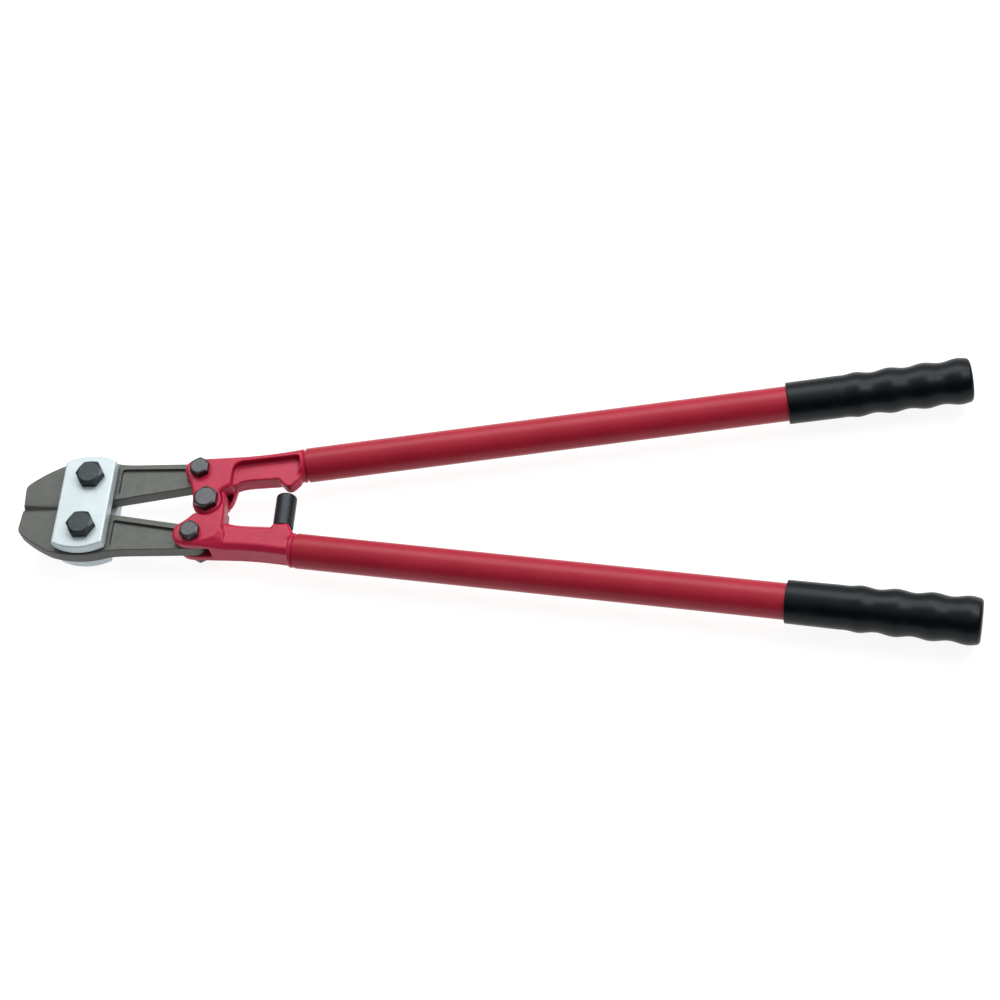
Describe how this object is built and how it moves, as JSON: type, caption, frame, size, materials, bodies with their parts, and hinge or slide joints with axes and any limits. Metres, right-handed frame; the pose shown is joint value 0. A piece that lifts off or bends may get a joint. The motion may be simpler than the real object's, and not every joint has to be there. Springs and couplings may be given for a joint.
{
  "type": "bolt cutters",
  "caption": "Compound-lever bolt cutters: two forged jaws joined by steel link plates, driven by long tubular handles with rubber grips.",
  "frame": {"origin": "middle of the underside of the whole tool, lying flat and closed", "axes": "+X along the tool towards the handle ends, +Y towards the upper handle, +Z along the pivot bolts towards their heads"},
  "size_m": [0.9028, 0.2962, 0.0593],
  "materials": {
    "phosphated_steel": "matte",
    "zinc_plated_steel": "satin",
    "dark_bolt_steel": "satin",
    "red_forging_paint": "satin",
    "red_tube_paint": "gloss",
    "black_rubber": "matte"
  },
  "bodies": {
    "lower_handle": {"lower_handle_forging": "red_forging_paint", "lower_handle_tube": "red_tube_paint", "lower_grip": "black_rubber", "stop_bumper": "black_rubber", "bumper_stud": "dark_bolt_steel", "centre_bolt": "dark_bolt_steel", "centre_spring_washer": "dark_bolt_steel", "centre_nut": "dark_bolt_steel", "lower_jaw_bolt": "dark_bolt_steel", "lower_jaw_spring_washer": "dark_bolt_steel", "lower_jaw_nut": "dark_bolt_steel"},
    "upper_handle": {"upper_handle_forging": "red_forging_paint", "upper_handle_tube": "red_tube_paint", "upper_grip": "black_rubber", "upper_jaw_bolt": "dark_bolt_steel", "upper_jaw_spring_washer": "dark_bolt_steel", "upper_jaw_nut": "dark_bolt_steel"},
    "lower_jaw": {"lower_jaw": "phosphated_steel"},
    "upper_jaw": {"upper_jaw": "phosphated_steel"},
    "link_plates": {"front_plate": "zinc_plated_steel", "back_plate": "zinc_plated_steel", "upper_plate_bolt": "dark_bolt_steel", "upper_plate_spring_washer": "dark_bolt_steel", "upper_plate_nut": "dark_bolt_steel", "lower_plate_bolt": "dark_bolt_steel", "lower_plate_spring_washer": "dark_bolt_steel", "lower_plate_nut": "dark_bolt_steel"}
  },
  "joints": [
    {"name": "handles_open", "type": "hinge", "parent": "lower_handle", "child": "upper_handle", "pos_m": [-0.26474, 0, 0.0318], "axis": [0, 0, 1], "range_deg": [0, 60]},
    {"name": "lower_jaw_pivot", "type": "hinge", "parent": "lower_handle", "child": "lower_jaw", "pos_m": [-0.27554, -0.0349, 0.0318], "axis": [0, 0, 1], "range_deg": [0, 35.42]},
    {"name": "upper_jaw_pivot", "type": "hinge", "parent": "upper_handle", "child": "upper_jaw", "pos_m": [-0.27554, 0.0349, 0.0318], "axis": [0, 0, 1], "range_deg": [-35.42, 0]},
    {"name": "plates_pivot", "type": "hinge", "parent": "lower_jaw", "child": "link_plates", "pos_m": [-0.38294, -0.0279, 0.0318], "axis": [0, 0, 1], "range_deg": [-5.42, 0]}
  ],
  "couplings": [
    {"joint": "lower_jaw_pivot", "follows": "handles_open", "ratio": 0.58944},
    {"joint": "upper_jaw_pivot", "follows": "handles_open", "ratio": -0.58944},
    {"joint": "plates_pivot", "follows": "handles_open", "ratio": -0.089444}
  ]
}
